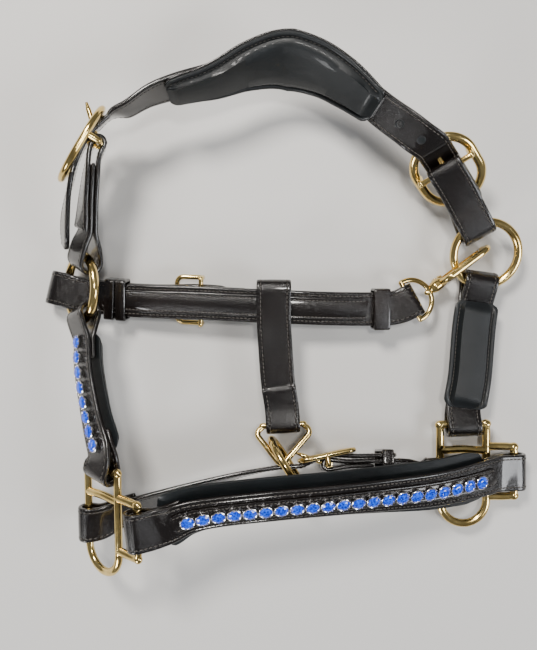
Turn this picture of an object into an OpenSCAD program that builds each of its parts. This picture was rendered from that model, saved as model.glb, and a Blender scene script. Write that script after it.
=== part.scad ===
// Leather headcollar, laid out on a flat surface with its left side standing on edge.
// Straps are flat ribbons that follow smooth tracks and fold round their metal fittings.

/* [Leather] */
// Width of every plain strap
strap_w = 26; // [24:1:28]
// Thickness of a strap
strap_t = 3.4; // [3:0.1:3.6]
// Thickness of a chape strap ply
chape_t = 3.2; // [2.8:0.1:3.3]
// Width of the padded cheek lining
cheek_pad_w = 34; // [30:1:36]
// Width of the padded noseband lining
nose_pad_w = 42; // [36:1:44]
// Greatest width of the shaped crown pad
crown_pad_w = 50; // [44:1:54]
// Height of the foam under a lining
foam_h = 5; // [3:0.5:6]

/* [Brass] */
// Radius of the side rings, to the middle of the wire
ring_r = 24.8; // [24:0.2:25.4]
// Radius of the side rings' wire
ring_wire = 3.2; // [2.8:0.1:3.3]
// Radius of the lead ring, to the middle of the wire
lead_r = 22.2; // [21.6:0.2:22.6]
// Radius of the lead ring's wire
lead_wire = 2.7; // [2.4:0.1:2.8]
// Thickness of the halter squares
square_t = 5.4; // [5:0.2:5.6]

/* [Crystals] */
// Number of stones on the noseband
nose_stones = 21; // [11:1:21]
// Number of stones on each cheek
cheek_stones = 8; // [4:1:8]
// Distance from one stone to the next
stone_pitch = 11; // [10.2:0.1:11.2]
// Radius of a claw cup
cup_r = 4.9; // [4:0.1:5]

/* [Hidden] */
leather = [0.07, 0.06, 0.06];
lining = [0.10, 0.12, 0.14];
foam = [0.75, 0.72, 0.6];
brass = [0.83, 0.68, 0.32];
steel = [0.7, 0.7, 0.72];
silver = [0.85, 0.85, 0.88];
blue = [0.1, 0.25, 0.85];

// Where the middle of the laid out headcollar lies, so that it stands on the origin
middle = [13.5, 10.6, -0.24];
// Air between a ply and the next one, and between a ply and the metal inside its fold
ply_gap = 0.3;
fold_air = 0.5;

// ---- Vectors and smooth curves ----
function unit(v) = v / norm(v);
function xyz(v) = [v[0], v[1], v[2]];
function width_dir(v) = [v[3], v[4], v[5]];
// A point on the smooth curve through four stations, between the middle two
function blend(a, b, c, d, t) =
    0.5 * (2 * b + (c - a) * t + (2 * a - 5 * b + 4 * c - d) * t * t
        + (3 * b - a - 3 * c + d) * t * t * t);
function smooth(S, k) = concat(
    [for (i = [0:len(S) - 2], j = [0:k - 1])
        blend(S[max(i - 1, 0)], S[i], S[i + 1], S[min(i + 2, len(S) - 1)], j / k)],
    [S[len(S) - 1]]);
function lengths(P, i = 0, done = 0) = i == len(P) - 1 ? [done]
    : concat([done], lengths(P, i + 1, done + norm(xyz(P[i + 1]) - xyz(P[i]))));
// A track is six tables, each from the distance along it to one coordinate
function track(S) = let (P = smooth(S, 6), L = lengths(P))
    [for (c = [0:5]) [for (i = [0:len(P) - 1]) [L[i], P[i][c]]]];
function track_len(T) = T[0][len(T[0]) - 1][0];
function at(T, s) = [for (table = T) lookup(s, table)];
// The place and the three directions (along, across, out) at a distance along a track
function place(T, s) = let (
    c = min(max(s, 0), track_len(T)),
    along = unit(xyz(at(T, min(c + 2, track_len(T)))) - xyz(at(T, max(c - 2, 0)))),
    w = width_dir(at(T, c)),
    across = unit(w - (w * along) * along))
    [xyz(at(T, c)) + along * (s - c) - middle, along, across, cross(along, across)];
function spot(T, s, n, w) = let (f = place(T, s)) f[0] + f[3] * n + f[2] * w;

// ---- Frames of the cast metal, which the straps' tracks start and end on ----
e = (chape_t + ply_gap) / 2;
left_bar = [-123, 130.9, 50];
left_up = unit([0.511, 0.86, 0]);
left_off = unit([-0.83, 0.47, 0.3]);
left_across = unit(cross(left_up, left_off));
right_bar = [130.2, 113.7, 43];
right_up = unit([-0.6, 0.62, 0.5]);
right_off = unit([0.03, 0.65, -0.76]);
right_across = unit(cross(right_off, right_up));
function in_left(x, z) = concat(left_bar + x * left_up + z * left_off, left_across);
function in_right(x, z) = concat(right_bar + x * right_up + z * right_off, right_across);
sq_a = unit([0.76, -0.07, 0.65]);
sq_n = unit([-0.65, -0.076, 0.752]);
sq_b = cross(sq_n, sq_a);
sq_at = [-107, -142.5, 57];
right_sq_at = [170, -114.7, 12];
function in_left_square(a, b) = sq_at + a * sq_a + b * sq_b;
function in_right_square(a, b) = right_sq_at + [a, b, 0];
// The track's place where the plies close round a bar: dir is the strap's direction there
function on_bar(bar, dir, w, side) = concat(bar - side * e * unit(cross(dir, w)), w);

// ---- Tracks: each station is [x, y, z, and the strap's width direction] ----
crown_track = track([
    [-152, 57, 34, 0.41, -0.34, 0.85], [-149.5, 78, 42, 0.41, -0.3, 0.86],
    in_left(-34.7, 2.6), in_left(-18, 7), in_left(0, 8.5), in_left(12, 5.7), in_left(22, 2.6),
    [-101.7, 155, 52.5, 0.25, 0.15, 0.93], [-85, 164.5, 53.5, 0.2, 0.28, 0.93],
    [-66, 171.5, 53, 0.13, 0.37, 0.92], [-40, 179, 51, 0.08, 0.45, 0.88],
    [-15.5, 189.5, 49.5, 0.03, 0.5, 0.86], [10.5, 194.5, 48.5, 0, 0.53, 0.85],
    [37, 188, 49, 0.12, 0.53, 0.84], [59, 174, 51, 0.3, 0.54, 0.79],
    [82, 153.5, 54, 0.46, 0.55, 0.7], [97, 142, 55.5, 0.58, 0.53, 0.61],
    [107.5, 134, 55.5, 0.7, 0.48, 0.52], in_right(21, 2.8), in_right(12, 5.7),
    in_right(0, 8.5), in_right(-18, 6), in_right(-34.7, 2), concat([156.5, 88.5, 19.2],
    right_across)
]);
left_chape_track = track([
    concat(left_bar, left_across), concat([-126.2, 122.5, 49.6], left_across),
    [-129, 108, 47.8, 0.36, -0.22, 0.9], [-131.7, 92, 45, 0.43, -0.26, 0.86],
    [-133.6, 78, 42.3, 0.5, -0.3, 0.81], [-135.8, 64.5, 39.6, 0.56, -0.33, 0.76],
    [-138.1, 51.3, 35.7, 0.59, -0.34, 0.735]
]);
right_chape_track = track([
    concat(right_bar, right_across), [143.5, 95.8, 35, 0.83, 0.46, 0.3],
    [156.5, 76.6, 23, 0.893, 0.433, 0.124]
]);
left_cheek_track = track([
    [-139.8, 3.9, 33.6, 0.608, 0.232, 0.759], [-138.6, -9.5, 36.7, 0.62, 0.2, 0.76],
    [-136.8, -34, 40, 0.65, 0.1, 0.75],
    [-129.5, -70, 44, 0.71, -0.03, 0.7],
    on_bar(in_left_square(-18, 49), -sq_b, sq_a, -1),
    on_bar(in_left_square(-18, 37), -sq_b, sq_a, -1)
]);
right_cheek_track = track([
    [164, 31.2, 10.05, 0.99, -0.12, -0.04], [160, 0, 7.6, 1, -0.1, 0],
    [156.5, -40, 7.9, 1, -0.05, 0], on_bar(in_right_square(-18, 50) - [0, 0, 0.6],
    [0, -1, 0], [1, 0, 0], 1), on_bar(in_right_square(-18, 37), [0, -1, 0], [1, 0, 0], 1)
]);
noseband_track = track([
    on_bar(in_left_square(22, 2), [1, 0, 0], sq_b, -1), [-79, -140.8, 72.6, 0, 0.99, 0.12],
    [-68, -138, 72, 0, 0.95, 0.25], [-55, -133.2, 70.3, 0, 0.9, 0.42],
    [-34, -130, 68, 0, 0.87, 0.5], [5, -126.8, 64.5, 0, 0.87, 0.5],
    [43, -124.6, 60, 0, 0.87, 0.5], [85, -122.6, 52, 0, 0.9, 0.42],
    [125, -121, 41, 0.02, 0.96, 0.28], [160, -117, 28.5, 0.03, 0.99, 0.12],
    [178, -114.5, 20, 0.02, 1, 0.04],
    on_bar(in_right_square(22, 0.5), [0.87, 0, -0.5], [0, 1, 0], -1)
]);
chin_track = track([
    on_bar(in_left_square(-36, -8), [1, 0, -0.1], sq_b, -1), [-123, -147.2, 33, 0, 0.97, 0.25],
    [-104, -140, 28, 0, 0.8, 0.6], [-66, -127.5, 24, 0, 0.55, 0.83],
    [-25, -115.5, 22, 0, 0.3, 0.95], [5, -109.6, 21, 0, 0.2, 0.98],
    [18, -108.6, 20.5, 0, 0.2, 0.98], [25, -108.2, 20.5, 0, 0.2, 0.98],
    [35, -103.6, 20.2, 0, 0.2, 0.98], [45, -99.7, 20, 0, 0.2, 0.98],
    [56, -100.4, 19.8, 0, 0.2, 0.98], [66, -100.8, 19.6, 0, 0.2, 0.98],
    [80, -100.6, 19.5, 0, 0.2, 0.98], [98, -100, 19.2, 0, 0.2, 0.98]
]);
chin_buckle_track = track([
    [45, -105.5, 20, 0, 0.2, 0.98], [66, -104.9, 19.8, 0, 0.2, 0.98],
    [90, -104.4, 19.5, 0, 0.2, 0.98], [104, -106.5, 18.5, 0, 0.4, 0.9],
    [114, -113.5, 16.2, 0, 0.88, 0.45], [122, -117.3, 14.4, 0, 0.99, 0.1],
    [128, -117.7, 13.9, 0, 1, 0],
    on_bar(in_right_square(-36, -3), [1, 0, 0], [0, 1, 0], -1)
]);
throat_track = track([
    [-157.4, 26.9, 10.65, -0.07, 0.99, -0.06], [-140, 23, 13.5, 0, 0.99, 0.1],
    [-120, 20, 16.5, 0, 0.98, 0.2], [-90, 18, 20, 0, 0.97, 0.2],
    [-60, 17, 22.5, 0, 0.97, 0.2], [-28, 15.5, 24.5, 0, 0.97, 0.2],
    [5, 14, 26, 0, 0.97, 0.2], [45, 12.5, 24.5, 0, 0.97, 0.2],
    [75, 12.2, 22, -0.02, 0.97, 0.15], [91, 12.4, 20.6, -0.1, 0.97, 0.1],
    [101.5, 14.4, 19.7, -0.3, 0.95, 0.04], [110, 18.5, 19.2, -0.47, 0.88, 0]
]);
centre_track = track([
    [4, 31, 35.6, 1, 0, 0], [4, 4, 30.2, 1, 0, 0], [5, -14, 28.5, 1, 0.03, 0],
    [7, -42, 26.3, 1, 0.05, 0], [10, -62, 24.5, 1, 0.06, 0], [11, -76, 23.6, 1, 0.06, 0]
]);

// ---- Ribbons ----
// A closed skin over a list of rings that each have the same number of points
module skin(rings) {
    n = len(rings[0]);
    m = len(rings);
    polyhedron(
        points = [for (r = rings, p = r) p],
        faces = concat(
            [for (i = [0:m - 2], j = [0:n - 1]) let (k = (j + 1) % n)
                [i * n + j, (i + 1) * n + k, i * n + k]],
            [for (i = [0:m - 2], j = [0:n - 1]) let (k = (j + 1) % n)
                [i * n + j, (i + 1) * n + j, (i + 1) * n + k]],
            [[for (j = [0:n - 1]) j]],
            [[for (j = [n - 1:-1:0]) (m - 1) * n + j]]));
}
// A strap of thickness t that follows a path of [distance along, height] on a track
module ribbon(T, path, t, wide) {
    m = len(path);
    skin([for (i = [0:m - 1]) let (
        d = unit(path[min(i + 1, m - 1)] - path[max(i - 1, 0)]),
        up = [-d[1], d[0]] * t / 2,
        a = path[i] + up,
        b = path[i] - up)
        [spot(T, a[0], a[1], -wide / 2), spot(T, b[0], b[1], -wide / 2),
         spot(T, b[0], b[1], wide / 2), spot(T, a[0], a[1], wide / 2)]]);
}
// Every strap and layer turns at the same stops, so that layers stay apart where they bend
grid = 5;
function stops(s0, s1) = concat([s0], [for (i = [ceil(s0 / grid + 0.2):floor(s1 / grid - 0.2)])
    grid * i], [s1]);
function middle_run(L) = [for (i = [4:floor(L / grid) - 4]) [grid * i, 0]];
// A layer on one side of a strap, between two distances along it. Its section is one of the
// shapes below, and widths is a table from the distance to the layer's width.
module layer(T, s0, s1, side, kind, lo, hi, widths) {
    skin([for (s = stops(s0, s1)) let (
        w = lookup(s, widths) / 2,
        h = s == s0 || s == s1 ? lo + (hi - lo) * 0.6 : hi)
        [for (p = kind == "flat" ? flat_section(w, lo, hi) : kind == "foam"
                ? foam_section(w, lo, h) : cover_section(w, lo, h))
            spot(T, s, side * p[1], side * p[0])]]);
}
function flat_section(w, lo, hi) = [[-w, hi], [-w, lo], [w, lo], [w, hi]];
function foam_section(w, lo, hi) = [
    [-w + 4, hi], [-w + 1.5, lo], [w - 1.5, lo], [w - 4, hi]];
// The lining lies flat at its edges and rises over the foam
function cover_section(w, lo, hi) = [
    [-w, lo + 1.4], [-w, lo], [-w + 1.2, lo], [-w + 3.8, hi + 0.35],
    [w - 3.8, hi + 0.35], [w - 1.2, lo], [w, lo], [w, lo + 1.4], [w - 3.4, hi + 1.8],
    [-w + 3.4, hi + 1.8]];

function arc(c, r, a0, a1, k) = [for (i = [0:k])
    c + r * [cos(a0 + (a1 - a0) * i / k), sin(a0 + (a1 - a0) * i / k)]];
// The fold round a bar at the start of a strap. The return ply lies on the given side, and
// reaches back along the strap. e is half the distance between the two plies' middles.
function start_fold(side, t, bar, slack, back) = let (
    e = (t + ply_gap) / 2,
    r = bar + fold_air + t / 2)
    concat(
        [[back, side * 2 * e], [back * 0.5 + 7, side * 2 * e], [15, side * 2 * e],
         [7, side * (e + (e + r) / 2)]],
        [for (p = arc([-slack, 0], r, 90, 270, 8)) [p[0], side * (e + p[1])]],
        [[7, side * (e - (e + r) / 2)], [15, 0]]);
function end_fold(L, side, t, bar, slack, back) = [for (i = [len(start_fold(side, t, bar,
    slack, back)) - 1:-1:0]) let (p = start_fold(side, t, bar, slack, back)[i])
    [L - p[0], p[1]]];
// A round tube along a list of points in one plane, closed on itself if it is a loop
module tube(points, r, loop, sides) {
    m = len(points);
    rings = [for (i = [0:m - 1]) let (
        before = points[loop ? (i + m - 1) % m : max(i - 1, 0)],
        after = points[loop ? (i + 1) % m : min(i + 1, m - 1)],
        t = unit(after - before))
        [for (j = [0:sides - 1]) let (a = 360 * j / sides)
            [points[i][0] - t[1] * r * cos(a), points[i][1] + t[0] * r * cos(a), r * sin(a)]]];
    if (loop)
        polyhedron(
            points = [for (ring = rings, p = ring) p],
            faces = [for (i = [0:m - 1], j = [0:sides - 1], half = [0:1]) let (
                k = (j + 1) % sides,
                n = (i + 1) % m)
                half == 0 ? [i * sides + j, n * sides + k, i * sides + k]
                    : [i * sides + j, n * sides + j, n * sides + k]]);
    else
        skin(rings);
}

// ---- Places for the metal ----
// A right-handed place with its origin, its X direction and roughly its Z direction
module stand(origin, x, z) {
    X = unit(x);
    Z = unit(z - (z * X) * X);
    Y = cross(Z, X);
    o = origin - middle;
    multmatrix([[X[0], Y[0], Z[0], o[0]], [X[1], Y[1], Z[1], o[1]],
        [X[2], Y[2], Z[2], o[2]]]) children();
}
// The place at a distance along a track: X along, Y across, Z out
module on_track(T, s) {
    f = place(T, s);
    multmatrix([[f[1][0], f[2][0], f[3][0], f[0][0]], [f[1][1], f[2][1], f[3][1], f[0][1]],
        [f[1][2], f[2][2], f[3][2], f[0][2]]]) children();
}
module torus(r, wire) {
    rotate_extrude($fn = 72) translate([r, 0]) circle(r = wire, $fn = 24);
}
// A strap keeper: a small loop of leather round a stack of plies
module keeper(T, s, long, wide, lo, hi) {
    wall = 1.6;
    on_track(T, s) difference() {
        translate([-long / 2, -wide / 2 - wall, lo - wall])
            cube([long, wide + 2 * wall, hi - lo + 2 * wall]);
        translate([-long, -wide / 2, lo]) cube([2 * long, wide, hi - lo]);
    }
}

// ---- Crown ----
crown_len = track_len(crown_track);
// How far along the crown strap each buckle's bar is
function station(T, i) = T[0][6 * i][0];
left_bar_s = station(crown_track, 4);
right_bar_s = station(crown_track, 20);
// Where the sewn pad starts and ends along the crown strap
pad_start = station(crown_track, 9) - 8;
pad_end = station(crown_track, 15) - 4;
pad_mid = station(crown_track, 12);
pad_widths = [[pad_start, 27], [pad_start + 24, 30], [pad_mid - 40, 38], [pad_mid - 10, 46],
    [pad_mid + 6, crown_pad_w], [pad_mid + 26, 46], [pad_mid + 52, 38], [pad_end, 27]];
function narrower(widths, by) = [for (p = widths) [p[0], p[1] - by]];

module crown_strap() {
    color(leather) difference() {
        ribbon(crown_track, [for (s = stops(0, crown_len)) [s, 0]], strap_t, strap_w);
        on_track(crown_track, left_bar_s + 9.5) translate([-9, -2.8, -6]) cube([18, 5.6, 12]);
        on_track(crown_track, right_bar_s - 9.5) translate([-9, -2.8, -6]) cube([18, 5.6, 12]);
        for (i = [1:2]) on_track(crown_track, right_bar_s - 13 - 19 * i)
            translate([0, 0, -5]) cylinder(r = 2.2, h = 10, $fn = 24);
    }
}
module crown_backing() {
    color(leather) layer(crown_track, pad_start, pad_end, 1, "flat", 2.1, 3.7, pad_widths);
}
module crown_foam() {
    color(foam) layer(crown_track, pad_start + 4, pad_end - 4, 1, "foam", 4.3,
        3.7 + foam_h, narrower(pad_widths, 5));
}
module crown_lining() {
    color(lining) layer(crown_track, pad_start, pad_end, 1, "cover", 4,
        4.1 + foam_h, pad_widths);
}
// The chape: one strap in three plies, round the buckle's bar at one end and the side ring
// at the other. outer is 1 or -1, the side of the track that faces away from the head.
module chape(T, outer) {
    L = track_len(T);
    d = chape_t + ply_gap;
    ring_fold = ring_wire + chape_t / 2 + 3;
    bar_fold = bar_r + chape_t / 2 + fold_air;
    // The plies share these stops, so that they stay apart where the track bends
    plies = concat([for (s = [12:4:L - 27]) s], [L - 25]);
    back = [for (i = [len(plies) - 1:-1:0]) plies[i]];
    path = concat(
        [[L - 20, d]], [for (s = back) [s, d]],
        arc([0, 0], bar_fold, 90, 270, 8),
        [for (s = plies) [s, -d]], [[L - 19, -d]],
        [[L - 9, -d / 2 - ring_fold * 0.75]],
        arc([L + 2.4, -d / 2], ring_fold, -90, 90, 8),
        [[L - 9, -d / 2 + ring_fold * 0.7]], [[L - 18, 0]],
        [for (s = back) if (s > 15) [s, 0]], [[15, 0]]);
    color(leather) difference() {
        ribbon(T, [for (p = path) [p[0], outer * p[1]]], chape_t, strap_w);
        on_track(T, 0) translate([-9, -3, -9]) cube([20, 6, 18]);
    }
}
module left_chape() { chape(left_chape_track, 1); }
module right_chape() { chape(right_chape_track, -1); }

// ---- Crown buckles: an oval rim that stands off a straight bar ----
bar_r = 2.2;
rim_r = 22.2;
rim_straight = 12;
rim_shift = -6.5;
module crown_buckle(rise) {
    color(brass) {
        translate([rim_shift, 0, rise]) tube(concat(
            arc([rim_straight / 2, 0], rim_r, -90, 90, 14),
            arc([-rim_straight / 2, 0], rim_r, 90, 270, 14)), 2.7, true, 10);
        rotate([90, 0, 0]) cylinder(r = bar_r, h = 2 * rim_r - 4, center = true, $fn = 24);
        for (side = [-1, 1]) translate([0, side * (rim_r - 2), -2.4])
            cylinder(r = 2.5, h = rise + 2.4, $fn = 24);
    }
}
// The tongue turns on the bar. lift is its angle from the rim's plane.
module tongue(bar, reach, r, lift) {
    color(brass) rotate([0, -lift, 0]) difference() {
        union() {
            rotate([90, 0, 0]) cylinder(r = bar + 1.8, h = 4.6, center = true, $fn = 24);
            rotate([0, 90, 0]) cylinder(r = r, h = reach - 4, $fn = 20);
            translate([reach - 4.5, 0, 0]) rotate([0, 90, 0])
                cylinder(r1 = r * 0.96, r2 = r * 0.5, h = 5, $fn = 20);
        }
        rotate([90, 0, 0]) cylinder(r = bar + 0.06, h = 6, center = true, $fn = 24);
    }
}
module at_left_buckle() { stand(left_bar, left_up, left_off) children(); }
module at_right_buckle() { stand(right_bar, right_up, right_off) children(); }
module left_crown_buckle() { at_left_buckle() crown_buckle(9.6); }
module left_crown_tongue() { at_left_buckle() tongue(bar_r, 29, 1.8, 46); }
module right_crown_buckle() { at_right_buckle() crown_buckle(9.6); }
module right_crown_tongue() { at_right_buckle() tongue(bar_r, 29, 1.8, 38); }

// ---- Rings ----
module left_ring() {
    color(brass) translate([-142, 28, 28] - middle) rotate([0, -51.3, 0]) torus(ring_r, ring_wire);
}
module right_ring() {
    color(brass) translate([167.7, 54.8, 18.6] - middle) rotate([16, 0, 0]) torus(ring_r, ring_wire);
}
module lead_ring() {
    color(brass) stand([14, -105.6, 25.4], [0, 0, 1], [0.84, 0.54, 0])
        torus(lead_r, lead_wire);
}
module triangle_ring() {
    color(brass) stand([11, -76, 25.4], [1, 0.06, 0], [0, 0.37, 0.93]) {
        tube(concat([[15, 0]], arc([15, -6], 4.5, 60, -35, 5), arc([-2.5, -25], 4, -25, -155, 6),
            arc([-15, -6], 4.5, 215, 120, 5), [[-15, 0]]), 2.2, false, 10);
        rotate([0, 90, 0]) cylinder(r = 2.2, h = 32, center = true, $fn = 24);
    }
}

// ---- Halter squares: spine along Y at x = 0, cheek and chin slots on one side, noseband slot
// on the other ----
nose_x = 22;
back_x = -36;
top_y = 37;
divider_y = 17;
nose_top = 20;
module rail(a, b) {
    d = b - a;
    translate(a) rotate(atan2(d[1], d[0])) translate([-3, -3]) square([norm(d) + 6, 6]);
}
module square_plate() {
    color(brass) translate([0, 0, -square_t / 2]) linear_extrude(square_t) {
        rail([0, -22], [0, top_y]);
        rail([back_x, -22], [back_x, top_y]);
        rail([back_x, top_y], [0, top_y]);
        rail([back_x, divider_y], [0, divider_y]);
        rail([0, nose_top], [nose_x, nose_top]);
        rail([nose_x, nose_top - 39], [nose_x, nose_top]);
        rail([0, nose_top - 39], [nose_x, nose_top - 39]);
        intersection() {
            translate([back_x / 2, -22]) difference() {
                circle(r = 21, $fn = 72);
                circle(r = 15, $fn = 72);
            }
            translate([back_x - 4, -50]) square([44, 29]);
        }
    }
}
module left_square() { stand(sq_at, sq_a, sq_n) square_plate(); }
module right_square() { stand(right_sq_at, [1, 0, 0], [0, 0, 1]) square_plate(); }

// ---- Cheeks. inner is the side of the track that faces the head. ----
square_bar = 4.2;
stack_lo = chape_t / 2 + 2 * ply_gap + chape_t;
module cheek_strap(T, inner) {
    L = track_len(T);
    color(leather) ribbon(T, concat(
        start_fold(inner, chape_t, ring_wire + 2.1, 2.3, 30), middle_run(L),
        end_fold(L, inner, chape_t, square_bar + 0.3, 1.2, 26)), chape_t, strap_w);
}
module cheek_foam(T, inner) {
    L = track_len(T);
    color(foam) layer(T, 32, L - 28, inner, "foam", chape_t / 2 + 0.4, stack_lo + foam_h,
        [[0, cheek_pad_w - 7]]);
}
module cheek_lining(T, inner) {
    L = track_len(T);
    color(lining) layer(T, 15, L - 15, inner, "cover", stack_lo + 0.2,
        stack_lo + foam_h, [[0, cheek_pad_w]]);
}
// A row of claw cups or of the stones in them, in the middle of a stretch of a track
module stone_row(T, s, count, out) {
    for (i = [0:count - 1]) on_track(T, s + (i - (count - 1) / 2) * stone_pitch)
        rotate([out > 0 ? 0 : 180, 0, 0]) children();
}
module cup(base) {
    color(silver) translate([0, 0, base]) difference() {
        cylinder(r1 = cup_r - 0.8, r2 = cup_r, h = 2.6, $fn = 24);
        translate([0, 0, 0.8]) cylinder(r = cup_r - 1.4, h = 3, $fn = 24);
    }
}
module stone(base) {
    color(blue) translate([0, 0, base + 0.9]) {
        cylinder(r1 = 2.2, r2 = cup_r - 1.6, h = 1.5, $fn = 24);
        translate([0, 0, 1.5]) cylinder(r1 = cup_r - 1.6, r2 = 2.2, h = 1.1, $fn = 24);
    }
}
cheek_face = chape_t / 2 + 0.8;
module left_cheek_strap() { cheek_strap(left_cheek_track, -1); }
module left_cheek_foam() { cheek_foam(left_cheek_track, -1); }
module left_cheek_lining() { cheek_lining(left_cheek_track, -1); }
module left_cheek_cups() { stone_row(left_cheek_track, 55.8, cheek_stones, 1) cup(cheek_face); }
module left_cheek_stones() { stone_row(left_cheek_track, 55.8, cheek_stones, 1) stone(cheek_face); }
module right_cheek_strap() { cheek_strap(right_cheek_track, 1); }
module right_cheek_foam() { cheek_foam(right_cheek_track, 1); }
module right_cheek_lining() { cheek_lining(right_cheek_track, 1); }
module right_cheek_cups() { stone_row(right_cheek_track, 53.5, cheek_stones, -1)
    cup(cheek_face + 0.9); }
module right_cheek_stones() { stone_row(right_cheek_track, 53.5, cheek_stones, -1)
    stone(cheek_face + 0.9); }

// ---- Noseband ----
nose_len = track_len(noseband_track);
nose_mid = 145;
strip_t = 1.2;
strip_lo = chape_t / 2 + 0.3;
module noseband_strap() {
    color(leather) ribbon(noseband_track, concat(
        start_fold(-1, chape_t, square_bar + 0.5, 0.5, 34), middle_run(nose_len),
        end_fold(nose_len, -1, chape_t, square_bar + 0.4, 0.5, 30)), chape_t, strap_w + 2);
}
module noseband_strip() {
    color(leather) layer(noseband_track, 24, nose_len - 22, 1, "flat", strip_lo,
        strip_lo + strip_t, [[0, 15]]);
}
module noseband_foam() {
    color(foam) layer(noseband_track, 38, nose_len - 42, -1, "foam", chape_t / 2 + 0.4,
        stack_lo + foam_h, [[0, nose_pad_w - 7]]);
}
module noseband_lining() {
    color(lining) layer(noseband_track, 17, nose_len - 28, -1, "cover", stack_lo + 0.2,
        stack_lo + foam_h, [[0, nose_pad_w - 5], [30, nose_pad_w], [nose_len - 45, nose_pad_w],
        [nose_len - 25, nose_pad_w - 8]]);
}
nose_face = strip_lo + strip_t + 0.25;
module noseband_cups() { stone_row(noseband_track, nose_mid, nose_stones, 1) cup(nose_face); }
module noseband_stones() { stone_row(noseband_track, nose_mid, nose_stones, 1) stone(nose_face); }

// ---- Small buckles: a rim that stands off its bar. back is how far the rim reaches behind
// the bar, and with no reach behind it the rim is open there. ----
small_bar_r = 1.8;
module small_buckle(front, back, wide, rise) {
    h = wide / 2;
    color(brass) {
        translate([0, 0, rise]) tube(concat([[0, h]], arc([front - 5, h - 5], 5, 90, 0, 4),
            arc([front - 5, 5 - h], 5, 0, -90, 4), [[0, -h]],
            back > 0 ? arc([5 - back, 5 - h], 5, -90, -180, 4) : [],
            back > 0 ? arc([5 - back, h - 5], 5, 180, 90, 4) : []), 1.9, back > 0, 10);
        rotate([90, 0, 0]) cylinder(r = small_bar_r, h = wide, center = true, $fn = 24);
        for (side = [-1, 1]) translate([0, side * h, -2])
            cylinder(r = 2.1, h = rise + 2, $fn = 24);
    }
}

// ---- Chin straps ----
chin_len = track_len(chin_track);
chin_buckle_len = track_len(chin_buckle_track);
chin_bar = place(chin_buckle_track, 0);
module at_chin_buckle() {
    stand(middle + chin_bar[0] + chin_bar[3] * e, -chin_bar[1], -chin_bar[3]) rotate([0, 10, 0])
        children();
}
module chin_strap() {
    color(leather) difference() {
        ribbon(chin_track, concat(start_fold(-1, chape_t, square_bar, 0, 40),
            [for (s = stops(20, chin_len)) [s, 0]]), chape_t, strap_w);
        on_track(chin_track, station(chin_track, 9) - 7.5) translate([-7.5, -2.5, -6])
            cube([15, 5, 12]);
    }
}
module chin_buckle_strap() {
    color(leather) difference() {
        ribbon(chin_buckle_track, concat(
            start_fold(1, chape_t, small_bar_r, 0, 34), middle_run(chin_buckle_len),
            end_fold(chin_buckle_len, -1, chape_t, square_bar, 0, 24)),
            chape_t, strap_w);
        at_chin_buckle() translate([-11, -3, -9]) cube([20, 6, 18]);
    }
}
module chin_buckle() { at_chin_buckle() small_buckle(20, 21, 34, 7); }
module chin_tongue() { at_chin_buckle() tongue(small_bar_r, 25, 1.6, 32); }
module chin_keeper() { keeper(chin_buckle_track, 44, 9, strap_w + 2.4, -7, 5.8); }

// ---- Throat strap ----
throat_len = track_len(throat_track);
throat_buckle_s = 106;
throat_bar_n = -6.2;
module at_throat_buckle() {
    on_track(throat_track, throat_buckle_s) translate([0, 0, throat_bar_n])
        rotate([180, 0, 180]) children();
}
module throat_strap() {
    color(leather) difference() {
        ribbon(throat_track, concat(
            [[132, -8.8], [124, -9], [114, -11.6], [106, -12.4], [98, -11], [90, -8.4],
             [82, -5], [72, -4], [50, -4], [30, -4], [21, -4.3], [12, -6.4], [4, -7.9]],
            arc([-3.6, 1], 9, 270, 90, 8), [[4, 9.8], [9, 8.6], [15, 4.8], [21, 1.5], [26, 0.2]],
            [for (s = stops(30, throat_len - 20)) [s, 0]],
            end_fold(throat_len, -1, strap_t, 2.2, 0, 22)), strap_t, strap_w);
        on_track(throat_track, throat_buckle_s - 9) translate([-7.5, -2.5, -15])
            cube([15, 5, 10]);
    }
}
// The fold of leather that holds the throat buckle's bar, sewn under the strap
module throat_chape() {
    a = throat_buckle_s;
    color(leather) difference() {
        ribbon(throat_track, concat([[a + 34, -5.2], [a + 24, -5.2], [a + 14, -5.4],
            [a + 6, -8.4]], [for (p = arc([a, throat_bar_n], 3.2, 270, 90, 8)) p],
            [[a + 6, -2.95], [a + 14, -2.95], [a + 24, -2.95], [a + 34, -2.95]]), 2, 25);
        on_track(throat_track, a) translate([-6, -3, -12]) cube([12, 6, 12]);
    }
}
module throat_strip() {
    color(leather) layer(throat_track, 30, throat_len - 35, 1, "flat", strap_t / 2 + 0.25,
        strap_t / 2 + 1.35, [[0, 17]]);
}
module throat_buckle() { at_throat_buckle() small_buckle(20, 0, 36, 7); }
module throat_tongue() { at_throat_buckle() tongue(small_bar_r, 23, 1.6, 36); }
module throat_ring_keeper() { keeper(throat_track, 36.5, 8, strap_w + 2.6, -6.5, 3.9); }
module throat_billet_keeper() { keeper(throat_track, 45.5, 8, strap_w + 2.6, -6.5, 3.9); }
module throat_snap_keeper() {
    keeper(throat_track, throat_len - 25, 13, strap_w + 2.6, -6.3, 3.8);
}

// ---- Centre strap ----
module centre_strap() {
    L = track_len(centre_track);
    color(leather) ribbon(centre_track, concat(
        [[52, -3.6], [45, -3.6], [40, -4.5], [36, -8], [32, -10.4], [4, -10.4], [0.5, -8.9],
         [-1, -5.2], [0.5, -1.5], [4, 0], [10, 0]],
        middle_run(L), end_fold(L, 1, chape_t, 2.2, 0.5, 30)), chape_t, strap_w);
}

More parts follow.
